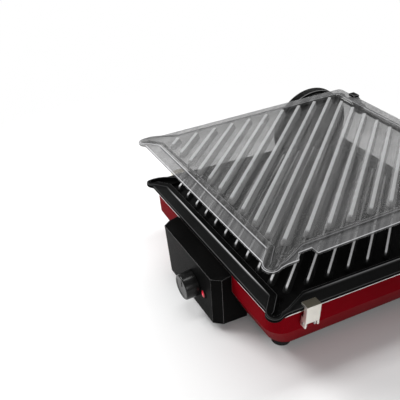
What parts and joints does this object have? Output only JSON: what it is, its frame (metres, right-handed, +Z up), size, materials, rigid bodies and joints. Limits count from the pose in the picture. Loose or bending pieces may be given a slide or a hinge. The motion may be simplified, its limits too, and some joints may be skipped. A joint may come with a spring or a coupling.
{
  "type": "electric indoor grill",
  "caption": "Countertop electric grill with a ribbed non-stick plate, a see-through ribbed lid on a height-adjusting hinge, a red housing and a front control box.",
  "frame": {"origin": "middle of the object's bounding box on the table that the feet stand on", "axes": "+X to the right seen from the front, +Y from the control box to the hinge, +Z up"},
  "size_m": [0.356, 0.3664, 0.1698],
  "materials": {
    "red_enamel": "gloss deep red enamel",
    "polished_trim": "polished",
    "rubber": "matte",
    "steel": "brushed",
    "element_sheath": "heat-darkened",
    "nonstick_coating": "black non-stick coating, satin",
    "smoked_clear": "smoked see-through, glossy",
    "red_lens": "lit red lens",
    "lamp_glass": "clear",
    "ceramic": "matte ceramic and phenolic",
    "knob_plastic": "satin black",
    "black_plastic": "satin black"
  },
  "bodies": {
    "base": {"lower_housing": "red_enamel", "rim_trim": "polished_trim", "bottom_cover": "black_plastic", "foot_front_left": "rubber", "foot_front_right": "rubber", "foot_rear_left": "rubber", "foot_rear_right": "rubber", "heat_reflector": "steel", "heating_element": "element_sheath", "element_clips": "steel", "grill_plate": "nonstick_coating", "clip_bracket_left": "steel", "clip_bracket_right": "steel", "clip_pin_left": "steel", "clip_pin_right": "steel", "control_box": "black_plastic", "control_box_base": "black_plastic", "thermostat": "ceramic", "indicator_lens": "red_lens", "indicator_lamp": "lamp_glass", "terminal_block": "ceramic", "thermal_fuse": "ceramic", "cord_inlet": "black_plastic", "hinge_bracket_left": "black_plastic", "hinge_bracket_right": "black_plastic", "hinge_cheek_left": "black_plastic", "hinge_cheek_right": "black_plastic", "cheek_cap_left": "black_plastic", "cheek_cap_right": "black_plastic", "cheek_screws": "steel", "cover_screws": "steel", "box_screws": "steel"},
    "knob": {"knob": "knob_plastic", "thermostat_shaft": "steel"},
    "clip_left": {"plate_clip_left": "steel"},
    "clip_right": {"plate_clip_right": "steel"},
    "lid_carrier": {"carriage_left": "black_plastic", "carriage_right": "black_plastic", "brake_spring_left": "steel", "brake_spring_right": "steel", "hinge_rod": "steel"},
    "lid": {"lid_panel": "smoked_clear", "lid_arm_left": "black_plastic", "lid_arm_right": "black_plastic"}
  },
  "joints": [
    {"name": "knob_turn", "type": "hinge", "parent": "base", "child": "knob", "pos_m": [0.0103, -0.1643, 0.041], "axis": [0, 0.9956, 0.0933], "range_deg": [0, 270]},
    {"name": "lid_float", "type": "slide", "parent": "base", "child": "lid_carrier", "axis": [0, 0, 1], "range_m": [-0.045, 0]},
    {"name": "lid_tilt", "type": "hinge", "parent": "lid_carrier", "child": "lid", "pos_m": [0, 0.16817, 0.1465], "axis": [-1, 0, 0], "range_deg": [0, 95]},
    {"name": "clip_left_release", "type": "hinge", "parent": "base", "child": "clip_left", "pos_m": [-0.1514, -0.10683, 0.072], "axis": [0, -1, 0], "range_deg": [0, 30]},
    {"name": "clip_right_release", "type": "hinge", "parent": "base", "child": "clip_right", "pos_m": [0.1514, -0.10683, 0.072], "axis": [0, 1, 0], "range_deg": [0, 30]}
  ]
}
